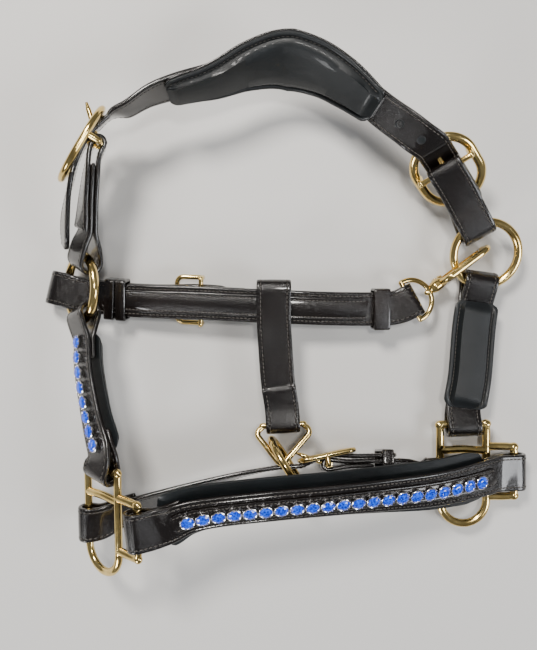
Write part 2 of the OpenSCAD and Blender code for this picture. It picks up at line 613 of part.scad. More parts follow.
// ---- Trigger snap: x along the hook from its swivel, z up, y along the gate's pin ----
snap_eye_at = [110, 18.5, 17.35];
snap_at = [125, 26.5, 15];
module at_snap() { stand(snap_at, [0.8, 0.6, 0], [0, 0, 1]) children(); }
module snap_eye() {
    color(brass) {
        stand(snap_eye_at, snap_at - snap_eye_at, [0, 0, 1]) {
            rotate([90, 0, 0]) cylinder(r = 2, h = 32, center = true, $fn = 24);
            tube(concat([[0, -16]], arc([1, 0], 16, -90, 90, 12), [[0, 16]]), 2, false, 10);
        }
        at_snap() {
            translate([-2.5, 0, 0]) rotate([0, 90, 0]) cylinder(r = 2, h = 11, $fn = 24);
            translate([6.3, 0, 0]) rotate([0, 90, 0]) cylinder(r = 3.2, h = 2.2, $fn = 24);
        }
    }
}
hinge_x = 13;
hinge_z = -11.6;
module snap_body() {
    color(brass) at_snap() difference() {
        union() {
            translate([3.6, 0, 0]) rotate([0, 90, 0]) cylinder(r = 4.8, h = 7.4, $fn = 30);
            rotate([90, 0, 0]) tube(concat([[9, 0], [12.5, 5.5]], arc([19, 3.4], 6, 150, 90, 4),
                arc([46, 0], 9.4, 90, 0, 7), [[55.4, -6], [55.4, -11]]), 2.6, false, 10);
            for (side = [-1, 1]) translate([hinge_x - 4, side * 3.4 - 1, hinge_z - 1.6])
                cube([7, 2, 11]);
        }
        translate([-1, 0, 0]) rotate([0, 90, 0]) cylinder(r = 2.06, h = 8, $fn = 24);
        translate([6, 0, 0]) rotate([0, 90, 0]) cylinder(r = 3.26, h = 2.8, $fn = 24);
        translate([hinge_x, 0, hinge_z]) rotate([90, 0, 0])
            cylinder(r = 1.25, h = 12, center = true, $fn = 24);
    }
}
module snap_gate() {
    color(brass) at_snap() difference() {
        union() {
            translate([hinge_x, -0.8, hinge_z]) rotate([90, 0, 0])
                cylinder(r = 2, h = 2.4, center = true, $fn = 24);
            translate([hinge_x, -2, hinge_z - 1.3]) cube([52.2 - hinge_x, 4, 2.6]);
        }
        translate([hinge_x - 3, 0.5, hinge_z - 4]) cube([6, 3, 8]);
        translate([hinge_x, 0, hinge_z]) rotate([90, 0, 0])
            cylinder(r = 1.26, h = 12, center = true, $fn = 24);
    }
}
module snap_gate_pin() {
    color(steel) at_snap() translate([hinge_x, 0, hinge_z]) rotate([90, 0, 0])
        cylinder(r = 1.2, h = 8.8, center = true, $fn = 24);
}
module snap_spring() {
    color(steel) at_snap() translate([hinge_x, 1.45, hinge_z]) rotate([90, 0, 0]) {
        torus(1.8, 0.4);
    }
}

crown_strap();
crown_backing();
crown_foam();
crown_lining();
left_chape();
right_chape();
left_crown_buckle();
left_crown_tongue();
right_crown_buckle();
right_crown_tongue();
left_ring();
right_ring();
lead_ring();
triangle_ring();
left_square();
right_square();
left_cheek_strap();
left_cheek_foam();
left_cheek_lining();
left_cheek_cups();
left_cheek_stones();
right_cheek_strap();
right_cheek_foam();
right_cheek_lining();
right_cheek_cups();
right_cheek_stones();
noseband_strap();
noseband_strip();
noseband_foam();
noseband_lining();
noseband_cups();
noseband_stones();
chin_strap();
chin_buckle_strap();
chin_buckle();
chin_tongue();
chin_keeper();
throat_strap();
throat_strip();
throat_chape();
throat_buckle();
throat_tongue();
throat_ring_keeper();
throat_billet_keeper();
throat_snap_keeper();
centre_strap();
snap_eye();
snap_body();
snap_gate();
snap_gate_pin();
snap_spring();
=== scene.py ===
# Leather headcollar: straps, pads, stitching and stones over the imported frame.
import math

import bpy
import numpy as np
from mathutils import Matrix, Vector


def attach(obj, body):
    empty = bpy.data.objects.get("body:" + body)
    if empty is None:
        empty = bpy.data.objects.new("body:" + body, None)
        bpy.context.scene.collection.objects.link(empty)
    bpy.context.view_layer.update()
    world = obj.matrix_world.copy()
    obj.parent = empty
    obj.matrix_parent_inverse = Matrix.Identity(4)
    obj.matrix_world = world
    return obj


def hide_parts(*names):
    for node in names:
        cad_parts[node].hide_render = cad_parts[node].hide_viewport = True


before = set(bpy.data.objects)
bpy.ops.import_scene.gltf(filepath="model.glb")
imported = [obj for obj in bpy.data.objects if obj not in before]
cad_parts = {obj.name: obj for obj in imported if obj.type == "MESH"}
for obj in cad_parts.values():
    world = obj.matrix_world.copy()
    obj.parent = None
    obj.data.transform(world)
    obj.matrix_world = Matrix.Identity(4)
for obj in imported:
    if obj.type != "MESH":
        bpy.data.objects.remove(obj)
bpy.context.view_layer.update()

MM = 0.001
MIDDLE = np.array([13.5, 10.6, -0.24])
SEED = 7
FLOOR_DROP = -0.0006  # keeps the floor just clear of the lowest leather
CAMERA_HEIGHT = 520  # mm above the surface that the part lies on

# ---- Sizes in millimetres, as in the CAD model ----
strap_w, strap_t, chape_t = 26.0, 3.4, 3.2
ply_gap, fold_air = 0.3, 0.5
cheek_pad_w, nose_pad_w, crown_pad_w, foam_h = 34.0, 42.0, 50.0, 5.0
ring_wire, square_bar, bar_r, small_bar_r = 3.2, 4.2, 2.2, 1.8
stone_pitch, claw_r = 11.0, 5.3
stack_lo = chape_t / 2 + 2 * ply_gap + chape_t


# ---- Camera ----
camera_data = bpy.data.cameras.new("camera")
camera_data.sensor_fit = "VERTICAL"
camera_data.sensor_height = 36
camera_data.lens = 36
camera_data.clip_start = 0.02
camera = bpy.data.objects.new("camera", camera_data)
camera.location = (-MIDDLE[0] * MM, -MIDDLE[1] * MM, (CAMERA_HEIGHT - MIDDLE[2]) * MM)
bpy.context.scene.collection.objects.link(camera)
bpy.context.scene.camera = camera


# ---- Tracks ----
def unit(v):
    v = np.array(v, float)
    return v / np.linalg.norm(v)


def vec(*v):
    return np.array(v, float)


def concat(*parts):
    return np.concatenate([np.array(p, float) for p in parts])


cross = np.cross
half_ply = (chape_t + ply_gap) / 2
left_bar = vec(-123, 130.9, 50)
left_up = unit([0.511, 0.86, 0])
left_off = unit([-0.83, 0.47, 0.3])
left_across = unit(cross(left_up, left_off))
right_bar = vec(130.2, 113.7, 43)
right_up = unit([-0.6, 0.62, 0.5])
right_off = unit([0.03, 0.65, -0.76])
right_across = unit(cross(right_off, right_up))
sq_a = unit([0.76, -0.07, 0.65])
sq_n = unit([-0.65, -0.076, 0.752])
sq_b = cross(sq_n, sq_a)
sq_at = vec(-107, -142.5, 57)
right_sq_at = vec(170, -114.7, 12)


def in_left(x, z):
    return concat(left_bar + x * left_up + z * left_off, left_across)


def in_right(x, z):
    return concat(right_bar + x * right_up + z * right_off, right_across)


def in_left_square(a, b):
    return sq_at + a * sq_a + b * sq_b


def in_right_square(a, b):
    return right_sq_at + vec(a, b, 0)


def on_bar(bar, direction, w, side):
    return concat(np.array(bar) - side * half_ply * unit(cross(direction, w)), w)


class Track:
    """A smooth path with a width direction, measured by the distance along it."""

    def __init__(self, stations):
        s = [np.array(x, float) for x in stations]
        n = len(s)
        pts = []
        for k in range(n - 1):
            a, b, c, d = s[max(k - 1, 0)], s[k], s[k + 1], s[min(k + 2, n - 1)]
            for q in range(6):
                t = q / 6
                pts.append(0.5 * (2 * b + (c - a) * t + (2 * a - 5 * b + 4 * c - d) * t * t
                                  + (3 * b - a - 3 * c + d) * t ** 3))
        pts.append(s[-1])
        self.points = np.array(pts)
        steps = np.linalg.norm(np.diff(self.points[:, :3], axis=0), axis=1)
        self.s = np.concatenate([[0], np.cumsum(steps)])
        self.length = self.s[-1]

    def at(self, s):
        return np.stack([np.interp(s, self.s, self.points[:, k]) for k in range(6)], axis=-1)

    def station(self, i):
        return self.s[6 * i]

    def place(self, s):
        s = np.atleast_1d(np.array(s, float))
        c = np.clip(s, 0, self.length)
        along = (self.at(np.minimum(c + 2, self.length))[:, :3]
                 - self.at(np.maximum(c - 2, 0))[:, :3])
        along /= np.linalg.norm(along, axis=1, keepdims=True)
        w = self.at(c)[:, 3:]
        across = w - (w * along).sum(1, keepdims=True) * along
        across /= np.linalg.norm(across, axis=1, keepdims=True)
        origin = self.at(c)[:, :3] + along * (s - c)[:, None] - MIDDLE
        return origin, along, across, np.cross(along, across)

    def spot(self, s, n, w):
        o, _, across, out = self.place(s)
        return o + out * np.atleast_1d(n)[:, None] + across * np.atleast_1d(w)[:, None]


crown = Track([
    [-152, 57, 34, 0.41, -0.34, 0.85], [-149.5, 78, 42, 0.41, -0.3, 0.86],
    in_left(-34.7, 2.6), in_left(-18, 7), in_left(0, 8.5), in_left(12, 5.7), in_left(22, 2.6),
    [-101.7, 155, 52.5, 0.25, 0.15, 0.93], [-85, 164.5, 53.5, 0.2, 0.28, 0.93],
    [-66, 171.5, 53, 0.13, 0.37, 0.92], [-40, 179, 51, 0.08, 0.45, 0.88],
    [-15.5, 189.5, 49.5, 0.03, 0.5, 0.86], [10.5, 194.5, 48.5, 0, 0.53, 0.85],
    [37, 188, 49, 0.12, 0.53, 0.84], [59, 174, 51, 0.3, 0.54, 0.79],
    [82, 153.5, 54, 0.46, 0.55, 0.7], [97, 142, 55.5, 0.58, 0.53, 0.61],
    [107.5, 134, 55.5, 0.7, 0.48, 0.52], in_right(21, 2.8), in_right(12, 5.7),
    in_right(0, 8.5), in_right(-18, 6), in_right(-34.7, 2),
    concat([156.5, 88.5, 19.2], right_across)])
left_chape = Track([
    concat(left_bar, left_across), concat([-126.2, 122.5, 49.6], left_across),
    [-129, 108, 47.8, 0.36, -0.22, 0.9], [-131.7, 92, 45, 0.43, -0.26, 0.86],
    [-133.6, 78, 42.3, 0.5, -0.3, 0.81], [-135.8, 64.5, 39.6, 0.56, -0.33, 0.76],
    [-138.1, 51.3, 35.7, 0.59, -0.34, 0.735]])
right_chape = Track([
    concat(right_bar, right_across), [143.5, 95.8, 35, 0.83, 0.46, 0.3],
    [156.5, 76.6, 23, 0.893, 0.433, 0.124]])
left_cheek = Track([
    [-139.8, 3.9, 33.6, 0.608, 0.232, 0.759], [-138.6, -9.5, 36.7, 0.62, 0.2, 0.76],
    [-136.8, -34, 40, 0.65, 0.1, 0.75], [-129.5, -70, 44, 0.71, -0.03, 0.7],
    on_bar(in_left_square(-18, 49), -sq_b, sq_a, -1),
    on_bar(in_left_square(-18, 37), -sq_b, sq_a, -1)])
right_cheek = Track([
    [164, 31.2, 10.05, 0.99, -0.12, -0.04], [160, 0, 7.6, 1, -0.1, 0],
    [156.5, -40, 7.9, 1, -0.05, 0],
    on_bar(in_right_square(-18, 50) - vec(0, 0, 0.6), [0, -1, 0], [1, 0, 0], 1),
    on_bar(in_right_square(-18, 37), [0, -1, 0], [1, 0, 0], 1)])
noseband = Track([
    on_bar(in_left_square(22, 2), [1, 0, 0], sq_b, -1), [-79, -140.8, 72.6, 0, 0.99, 0.12],
    [-68, -138, 72, 0, 0.95, 0.25], [-55, -133.2, 70.3, 0, 0.9, 0.42],
    [-34, -130, 68, 0, 0.87, 0.5], [5, -126.8, 64.5, 0, 0.87, 0.5],
    [43, -124.6, 60, 0, 0.87, 0.5], [85, -122.6, 52, 0, 0.9, 0.42],
    [125, -121, 41, 0.02, 0.96, 0.28], [160, -117, 28.5, 0.03, 0.99, 0.12],
    [178, -114.5, 20, 0.02, 1, 0.04],
    on_bar(in_right_square(22, 0.5), [0.87, 0, -0.5], [0, 1, 0], -1)])
chin = Track([
    on_bar(in_left_square(-36, -8), [1, 0, -0.1], sq_b, -1),
    [-123, -147.2, 33, 0, 0.97, 0.25],
    [-104, -140, 28, 0, 0.8, 0.6], [-66, -127.5, 24, 0, 0.55, 0.83],
    [-25, -115.5, 22, 0, 0.3, 0.95], [5, -109.6, 21, 0, 0.2, 0.98],
    [18, -108.6, 20.5, 0, 0.2, 0.98], [25, -108.2, 20.5, 0, 0.2, 0.98],
    [35, -103.6, 20.2, 0, 0.2, 0.98], [45, -99.7, 20, 0, 0.2, 0.98],
    [56, -100.4, 19.8, 0, 0.2, 0.98], [66, -100.8, 19.6, 0, 0.2, 0.98],
    [80, -100.6, 19.5, 0, 0.2, 0.98], [98, -100, 19.2, 0, 0.2, 0.98]])
chin_buckle = Track([
    [45, -105.5, 20, 0, 0.2, 0.98], [66, -104.9, 19.8, 0, 0.2, 0.98],
    [90, -104.4, 19.5, 0, 0.2, 0.98], [104, -106.5, 18.5, 0, 0.4, 0.9],
    [114, -113.5, 16.2, 0, 0.88, 0.45], [122, -117.3, 14.4, 0, 0.99, 0.1],
    [128, -117.7, 13.9, 0, 1, 0],
    on_bar(in_right_square(-36, -3), [1, 0, 0], [0, 1, 0], -1)])
throat = Track([
    [-157.4, 26.9, 10.65, -0.07, 0.99, -0.06], [-140, 23, 13.5, 0, 0.99, 0.1],
    [-120, 20, 16.5, 0, 0.98, 0.2], [-90, 18, 20, 0, 0.97, 0.2],
    [-60, 17, 22.5, 0, 0.97, 0.2], [-28, 15.5, 24.5, 0, 0.97, 0.2],
    [5, 14, 26, 0, 0.97, 0.2], [45, 12.5, 24.5, 0, 0.97, 0.2],
    [75, 12.2, 22, -0.02, 0.97, 0.15], [91, 12.4, 20.6, -0.1, 0.97, 0.1],
    [101.5, 14.4, 19.7, -0.3, 0.95, 0.04], [110, 18.5, 19.2, -0.47, 0.88, 0]])
centre = Track([
    [4, 31, 35.6, 1, 0, 0], [4, 4, 30.2, 1, 0, 0], [5, -14, 28.5, 1, 0.03, 0],
    [7, -42, 26.3, 1, 0.05, 0], [10, -62, 24.5, 1, 0.06, 0], [11, -76, 23.6, 1, 0.06, 0]])


# ---- Paths over a track: lists of (distance along, height) ----
def arc(c, r, a0, a1, k):
    return [(c[0] + r * math.cos(math.radians(a0 + (a1 - a0) * i / k)),
             c[1] + r * math.sin(math.radians(a0 + (a1 - a0) * i / k))) for i in range(k + 1)]


def start_fold(side, t, bar, slack, back):
    d = (t + ply_gap) / 2
    r = bar + fold_air + t / 2
    return ([(back, side * 2 * d), (back * 0.5 + 7, side * 2 * d), (15, side * 2 * d),
             (7, side * (d + (d + r) / 2))]
            + [(x, side * (d + y)) for x, y in arc((-slack, 0), r, 90, 270, 12)]
            + [(7, side * (d - (d + r) / 2)), (15, 0)])


def end_fold(length, *args):
    return [(length - s, n) for s, n in reversed(start_fold(*args))]


def middle_run(length):
    return [(5 * i, 0) for i in range(4, int(length // 5) - 3)]


def soften(path, rounds=2):
    """Cut the corners of a path, and keep its two ends."""
    p = np.array(path, float)
    for _ in range(rounds):
        a, b = p[:-1], p[1:]
        q = np.empty((2 * len(a), 2))
        q[0::2] = 0.75 * a + 0.25 * b
        q[1::2] = 0.25 * a + 0.75 * b
        p = np.vstack([p[:1], q, p[-1:]])
    return p


def resample(p, step):
    d = np.concatenate([[0], np.cumsum(np.linalg.norm(np.diff(p, axis=0), axis=1))])
    k = max(int(d[-1] / step), 2)
    u = np.linspace(0, d[-1], k + 1)
    return u, np.stack([np.interp(u, d, p[:, 0]), np.interp(u, d, p[:, 1])], axis=1)


# ---- Materials ----
def new_material(name):
    m = bpy.data.materials.new(name)
    m.use_nodes = True
    nt = m.node_tree
    bsdf = nt.nodes["Principled BSDF"]
    coord = nt.nodes.new("ShaderNodeTexCoord")
    return m, nt, bsdf, coord.outputs["Object"]


def noise(nt, coord, scale, detail=4, rough=0.55):
    n = nt.nodes.new("ShaderNodeTexNoise")
    n.inputs["Scale"].default_value = scale
    n.inputs["Detail"].default_value = detail
    n.inputs["Roughness"].default_value = rough
    nt.links.new(coord, n.inputs["Vector"])
    return n.outputs["Fac"]


def ramp(nt, fac, stops):
    r = nt.nodes.new("ShaderNodeValToRGB")
    while len(r.color_ramp.elements) < len(stops):
        r.color_ramp.elements.new(0.5)
    for el, (pos, col) in zip(r.color_ramp.elements, stops):
        el.position = pos
        el.color = (*col, 1) if len(col) == 3 else col
    nt.links.new(fac, r.inputs["Fac"])
    return r.outputs["Color"]


def math_node(nt, op, a, b):
    n = nt.nodes.new("ShaderNodeMath")
    n.operation = op
    for i, v in enumerate((a, b)):
        if isinstance(v, (int, float)):
            n.inputs[i].default_value = v
        else:
            nt.links.new(v, n.inputs[i])
    return n.outputs[0]


def bump(nt, bsdf, height, distance, strength=1.0):
    b = nt.nodes.new("ShaderNodeBump")
    b.inputs["Strength"].default_value = strength
    b.inputs["Distance"].default_value = distance
    nt.links.new(height, b.inputs["Height"])
    nt.links.new(b.outputs["Normal"], bsdf.inputs["Normal"])


def leather_material(name, dark, mid, rough, grain, wrinkle, coat):
    m, nt, bsdf, coord = new_material(name)
    tone = noise(nt, coord, 26, 6, 0.6)
    nt.links.new(ramp(nt, tone, [(0.3, dark), (0.7, mid)]), bsdf.inputs["Base Color"])
    wear = noise(nt, coord, 90, 6, 0.7)
    nt.links.new(ramp(nt, wear, [(0.3, (rough - 0.03,) * 3), (0.75, (rough + 0.06,) * 3)]),
                 bsdf.inputs["Roughness"])
    cells = nt.nodes.new("ShaderNodeTexVoronoi")
    cells.feature = "DISTANCE_TO_EDGE"
    cells.inputs["Scale"].default_value = grain
    nt.links.new(coord, cells.inputs["Vector"])
    pores = ramp(nt, cells.outputs["Distance"], [(0.0, (0, 0, 0)), (0.22, (1, 1, 1))])
    fine = noise(nt, coord, grain * 1.9, 3, 0.6)
    creases = noise(nt, coord, wrinkle, 5, 0.65)
    height = math_node(nt, "ADD", math_node(nt, "MULTIPLY", pores, 0.35),
                       math_node(nt, "ADD", math_node(nt, "MULTIPLY", fine, 0.35),
                                 math_node(nt, "MULTIPLY", creases, 0.5)))
    bump(nt, bsdf, height, 0.00012)
    bsdf.inputs["Coat Weight"].default_value = coat
    bsdf.inputs["Coat Roughness"].default_value = 0.07
    bsdf.inputs["Specular IOR Level"].default_value = 0.4
    return m


def metal_material(name, dark, bright, rough):
    m, nt, bsdf, coord = new_material(name)
    bsdf.inputs["Metallic"].default_value = 1
    tone = noise(nt, coord, 45, 6, 0.65)
    nt.links.new(ramp(nt, tone, [(0.3, dark), (0.62, bright)]), bsdf.inputs["Base Color"])
    smear = noise(nt, coord, 160, 6, 0.7)
    nt.links.new(ramp(nt, smear, [(0.3, (rough,) * 3), (0.75, (rough + 0.17,) * 3)]),
                 bsdf.inputs["Roughness"])
    scratches = noise(nt, coord, 900, 2, 0.5)
    bump(nt, bsdf, scratches, 0.00003, 0.5)
    return m


leather = leather_material("black_leather", (0.0028, 0.0022, 0.0020),
                           (0.0075, 0.0048, 0.0038), 0.19, 1500, 260, 0.6)
edge_leather = leather_material("folded_leather", (0.0034, 0.0027, 0.0024),
                                (0.0095, 0.0062, 0.0050), 0.20, 1300, 320, 0.55)
lining = leather_material("lining_leather", (0.0036, 0.0045, 0.0050),
                          (0.0090, 0.0115, 0.0130), 0.40, 1250, 150, 0.12)
brass = metal_material("polished_brass", (0.58, 0.38, 0.11), (0.93, 0.71, 0.29), 0.08)
silver = metal_material("bright_silver", (0.62, 0.62, 0.64), (0.90, 0.90, 0.92), 0.12)
steel = metal_material("bright_steel", (0.45, 0.45, 0.46), (0.72, 0.72, 0.73), 0.22)


def thread_material():
    m, nt, bsdf, coord = new_material("thread")
    tone = noise(nt, coord, 700, 3)
    nt.links.new(ramp(nt, tone, [(0.3, (0.03, 0.027, 0.024)), (0.7, (0.14, 0.125, 0.11))]),
                 bsdf.inputs["Base Color"])
    bsdf.inputs["Roughness"].default_value = 0.55
    bump(nt, bsdf, noise(nt, coord, 4200, 2), 0.0001, 0.8)
    return m


def crystal_material():
    m, nt, bsdf, coord = new_material("blue_crystal_painted_glow")
    tone = noise(nt, coord, 330, 3)
    # The Voronoi facets paint dark and bright patches into the stone's colour: painted
    # reflections and shade on the facets, mixed with a random tone.
    facets = nt.nodes.new("ShaderNodeTexVoronoi")
    facets.inputs["Scale"].default_value = 620
    nt.links.new(coord, facets.inputs["Vector"])
    facet_light_and_tone = math_node(nt, "ADD", math_node(nt, "MULTIPLY", tone, 0.45),
                      math_node(nt, "MULTIPLY", facets.outputs["Distance"], 0.9))
    colour = ramp(nt, facet_light_and_tone, [(0.2, (0.0, 0.003, 0.09)), (0.5, (0.0, 0.018, 0.42)),
                              (0.9, (0.006, 0.11, 0.95))])
    nt.links.new(colour, bsdf.inputs["Base Color"])
    # The same colour is also emitted, so the stones glow: painted light, as the stones are no
    # lamps.
    nt.links.new(colour, bsdf.inputs["Emission Color"])
    bsdf.inputs["Emission Strength"].default_value = 0.18
    bsdf.inputs["Roughness"].default_value = 0.06
    bsdf.inputs["IOR"].default_value = 1.6
    bsdf.inputs["Coat Weight"].default_value = 0.3
    bsdf.inputs["Coat Roughness"].default_value = 0.02
    return m


thread = thread_material()
crystal = crystal_material()


# ---- Meshes ----
def add_mesh(name, verts, faces, material, body, sharp=38, replaces=()):
    mesh = bpy.data.meshes.new(name)
    mesh.from_pydata([tuple(v) for v in np.array(verts) * MM], [], faces)
    mesh.validate()
    mesh.update()
    obj = bpy.data.objects.new(name, mesh)
    bpy.context.scene.collection.objects.link(obj)
    mesh.materials.append(material)
    mesh.shade_smooth()
    mesh.set_sharp_from_angle(angle=math.radians(sharp))
    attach(obj, body)
    if replaces:
        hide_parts(*replaces)
    return obj


def ring_faces(m, n, close_ends=True, loop=False):
    faces = []
    for i in range(m if loop else m - 1):
        k = (i + 1) % m
        for j in range(n):
            l = (j + 1) % n
            faces.append((i * n + j, i * n + l, k * n + l, k * n + j))
    if close_ends and not loop:
        faces.append(tuple(range(n - 1, -1, -1)))
        faces.append(tuple((m - 1) * n + j for j in range(n)))
    return faces


def strap_section(t, grooves=True):
    """Half of a strap's section from its edge inwards: (inset from the edge, height)."""
    h = t / 2
    half = [(0, 0), (0.05, h * 0.42), (0.35, h * 0.78), (0.9, h * 0.97), (1.7, h)]
    if grooves:
        half += [(2.5, h), (2.8, h - 0.28), (3.4, h - 0.28), (3.7, h)]
    return half + [(6.5, h + 0.08)]


def full_section(t, wide, grooves=True):
    half = strap_section(t, grooves)
    top = [(-wide / 2 + i, h) for i, h in half] + [(0, t / 2 + 0.12)]
    top += [(wide / 2 - i, h) for i, h in reversed(half)]
    under = [(w, -h) for w, h in reversed(top)][1:-1]
    return np.array(top + under)


def stitch_mesh(centres, directions, normals, length, r):
    """Small rounded threads, each lying along its direction."""
    verts, faces = [], []
    rings = [(-0.5, 0.25), (-0.36, 0.9), (0, 1.1), (0.36, 0.9), (0.5, 0.25)]
    side = np.cross(normals, directions)
    k = 0
    for c, d, n, b in zip(centres, directions, normals, side):
        for u, f in rings:
            for j in range(5):
                a = 2 * math.pi * j / 5
                lift = r * f * math.sin(a) - (0.15 if abs(u) > 0.4 else 0)
                verts.append(c + d * (u * length) + b * (r * f * math.cos(a)) + n * lift)
        faces += [tuple(k + q for q in f) for f in ring_faces(5, 5)]
        k += 25
    return verts, faces


def strap(name, T, path, t, wide, body, material=leather, tips=(0, 0), stitch=((0, 1),),
          sides=(1,), grooves=True, replaces=(), inset=3.1, pitch=3.1):
    """A strap along a path, with rounded edges, creased grooves and rows of stitches."""
    u, p = resample(soften(path), 1.6)
    d = np.gradient(p, axis=0)
    d /= np.linalg.norm(d, axis=1, keepdims=True)
    up = np.stack([-d[:, 1], d[:, 0]], axis=1)
    sec = full_section(t, wide, grooves)
    total = u[-1]
    width = np.ones(len(u))
    for tip, dist in ((tips[0], u), (tips[1], total - u)):
        if tip:
            x = np.clip(dist / tip, 0, 1)
            width *= np.sqrt(np.clip(1 - (1 - x) ** 2 * 0.93, 0.05, 1))
    n = len(sec)
    hh = sec[:, 1][None, :].repeat(len(u), 0)
    ends = np.clip(np.minimum(u, total - u) / 0.8, 0.45, 1)
    hh = hh * ends[:, None]
    s = p[:, 0][:, None] + up[:, 0][:, None] * hh
    h = p[:, 1][:, None] + up[:, 1][:, None] * hh
    w = sec[:, 0][None, :] * width[:, None]
    verts = T.spot(s.ravel(), h.ravel(), w.ravel())
    obj = add_mesh(name, verts, ring_faces(len(u), n), material, body,
                   replaces=replaces)
    if stitch:
        cs, ds, ns = [], [], []
        for a, b in stitch:
            for x in np.arange(total * a + 3, total * b - 3, pitch):
                ps = np.array([np.interp(x, u, p[:, 0]), np.interp(x, u, p[:, 1])])
                dd = unit([np.interp(x, u, d[:, 0]), np.interp(x, u, d[:, 1])])
                uu = vec(-dd[1], dd[0])
                wf = np.interp(x, u, width)
                for side in sides:
                    q = ps + uu * side * (t / 2 - 0.12)
                    q2 = q + dd * 0.5
                    q3 = ps + uu * side * (t / 2 + 0.4)
                    for edge in (-1, 1):
                        wp = edge * (wide / 2 - inset) * wf
                        c0 = T.spot(q[0], q[1], wp)[0]
                        cs.append(c0)
                        ds.append(unit(T.spot(q2[0], q2[1], wp)[0] - c0))
                        ns.append(unit(T.spot(q3[0], q3[1], wp)[0] - c0))
        v, f = stitch_mesh(np.array(cs), np.array(ds), np.array(ns), 2.3, 0.36)
        add_mesh(name + "_stitches", v, f, thread, body, sharp=80)
    return obj


def table(pairs):
    xs, ys = [p[0] for p in pairs], [p[1] for p in pairs]
    return lambda s: np.interp(s, xs, ys)


def pad(name, T, s0, s1, side, lo, hi, width, body, replaces):
    """A padded lining: a flat sewn edge round a crowned, slightly puckered swell."""
    step = 2.0
    ss = np.linspace(s0, s1, int((s1 - s0) / step) + 1)
    rings = []
    for s in ss:
        end = min(s - s0, s1 - s)
        w = width(s) / 2 * math.sqrt(max(1 - max(0, 1 - end / 5) ** 2 * 0.5, 0.1))
        swell = min(max((end - 1.5) / 7, 0), 1)
        swell = math.sin(swell * math.pi / 2) ** 0.7
        rise = (hi + 1.4 - lo - 1.6) * swell
        pucker = 0.16 * math.sin(s * 2 * math.pi / 6.2) + 0.1 * math.sin(s * 1.37 + SEED)
        base = lo + 1.7
        roll = 0.3 + 0.7 * swell
        half = [(w, lo + 0.8), (w - 0.15, lo + 1.5 * roll + 0.3), (w - 0.9, lo + 2.5 * roll),
                (w - 2.0, lo + 2.8 * roll), (w - 3.1, lo + 2.4 * roll), (w - 3.8, base - 0.2),
                (w - 4.5, base - 0.25), (w - 5.1, base + 0.25 * rise + pucker * swell),
                (w - 6.6, base + rise * 0.62 + pucker * 0.8 * swell),
                (w * 0.6, base + rise * 0.92 + pucker * 0.3 * swell),
                (w * 0.32, base + rise * 1.02)]
        top = [(-a, b) for a, b in half] + [(0, base + rise * 1.05)] + half[::-1]
        ring = top + [(w - 0.3, lo + 0.1), (w * 0.5, lo), (-w * 0.5, lo), (-w + 0.3, lo + 0.1)]
        rings.append(ring)
    n = len(rings[0])
    a = np.array(rings)
    sg = ss[:, None].repeat(n, 1)
    verts = T.spot(sg.ravel(), side * a[:, :, 1].ravel(), side * a[:, :, 0].ravel())
    obj = add_mesh(name, verts, ring_faces(len(ss), n), lining, body,
                   replaces=replaces)
    cs, ds, ns = [], [], []
    for s in np.arange(s0 + 4, s1 - 4, 3.1):
        w = width(s) / 2 - 4.2
        for edge in (-1, 1):
            c0 = T.spot(s, side * (lo + 1.5), edge * w)[0]
            cs.append(c0)
            ds.append(unit(T.spot(s + 0.5, side * (lo + 1.5), edge * w)[0] - c0))
            ns.append(unit(T.spot(s, side * (lo + 2.5), edge * w)[0] - c0))
    v, f = stitch_mesh(np.array(cs), np.array(ds), np.array(ns), 2.3, 0.33)
    add_mesh(name + "_stitches", v, f, thread, body, sharp=80)
    return obj


def flat_layer(name, T, s0, s1, side, lo, hi, width, body, replaces):
    """A flat layer sewn on a strap, with a creased groove and stitches along each edge."""
    ss = np.linspace(s0, s1, int((s1 - s0) / 2) + 1)
    rings = []
    mid, t = (lo + hi) / 2, hi - lo
    for s in ss:
        end = min(s - s0, s1 - s)
        w = width(s) * math.sqrt(max(1 - max(0, 1 - end / 5) ** 2 * 0.5, 0.1))
        half = [(0, 0), (0.05, t * 0.25), (0.3, t * 0.42), (0.8, t * 0.5)]
        half += [(1.6, t * 0.5), (1.9, t * 0.5 - 0.2), (2.5, t * 0.5 - 0.2), (2.8, t * 0.5)]
        top = [(-w / 2 + i, h) for i, h in half] + [(0, t / 2)]
        top += [(w / 2 - i, h) for i, h in reversed(half)]
        rings.append([(x, mid + y) for x, y in top + [(x, -y) for x, y in reversed(top)][1:-1]])
    a = np.array(rings)
    n = a.shape[1]
    sg = ss[:, None].repeat(n, 1)
    verts = T.spot(sg.ravel(), side * a[:, :, 1].ravel(), side * a[:, :, 0].ravel())
    obj = add_mesh(name, verts, ring_faces(len(ss), n), edge_leather, body,
                   replaces=replaces)
    cs, ds, ns = [], [], []
    for s in np.arange(s0 + 3, s1 - 3, 2.8):
        w = width(s) / 2 - 2.2
        for edge in (-1, 1):
            c0 = T.spot(s, side * (hi - 0.1), edge * w)[0]
            cs.append(c0)
            ds.append(unit(T.spot(s + 0.5, side * (hi - 0.1), edge * w)[0] - c0))
            ns.append(unit(T.spot(s, side * (hi + 1), edge * w)[0] - c0))
    v, f = stitch_mesh(np.array(cs), np.array(ds), np.array(ns), 2.0, 0.3)
    add_mesh(name + "_stitches", v, f, thread, body, sharp=80)
    return obj


